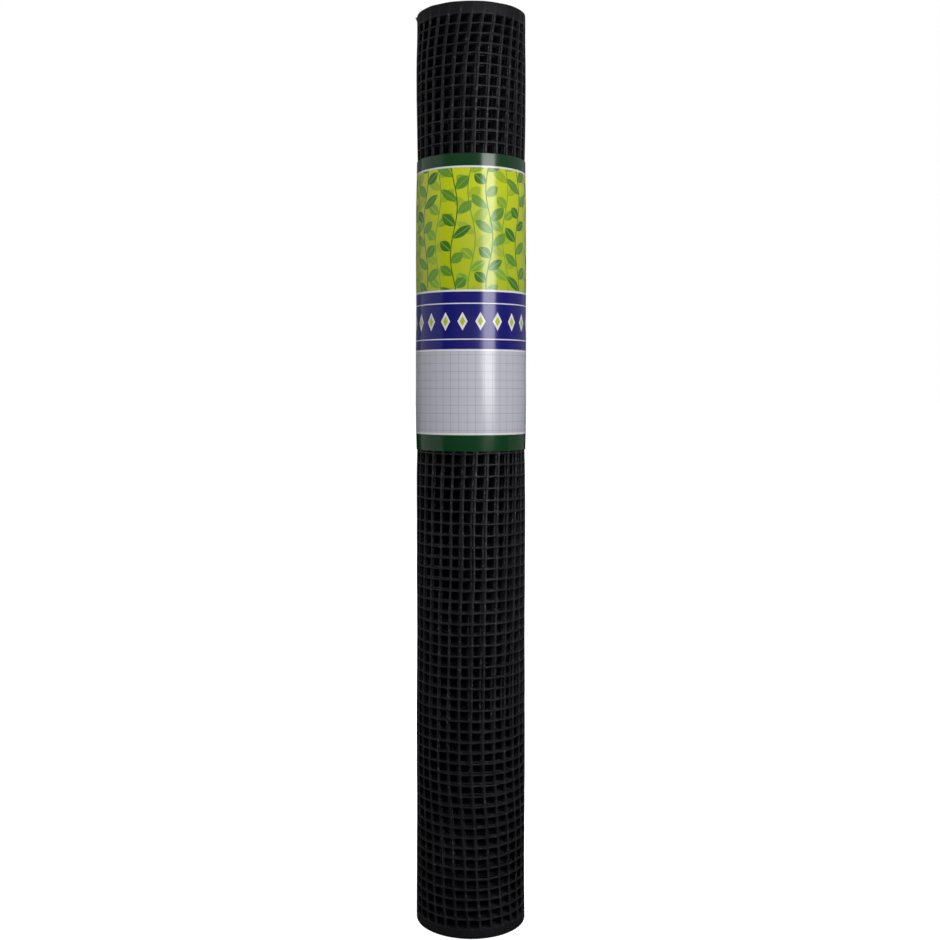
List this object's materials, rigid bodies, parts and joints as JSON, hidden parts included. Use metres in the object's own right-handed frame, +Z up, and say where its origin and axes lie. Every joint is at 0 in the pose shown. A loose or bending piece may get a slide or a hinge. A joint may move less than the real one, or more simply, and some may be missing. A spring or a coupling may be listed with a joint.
{
  "type": "roll of plastic mesh",
  "caption": "Upright roll of black square-mesh plastic netting with solid edge strips, wound round an open bore and held closed by a glossy wrap-round label.",
  "frame": {"origin": "on the roll's axis at the end that it stands on", "axes": "+Z up along the roll's axis, -Y towards the front of the label, +X to the right seen from the front"},
  "size_m": [0.1121, 0.1116, 0.9144],
  "materials": {
    "net_plastic": "extruded, semi-matt black",
    "label_print": "glossy printed sheet"
  },
  "bodies": {
    "root": {"net_roll": "net_plastic", "label_wrap": "label_print"}
  },
  "joints": []
}
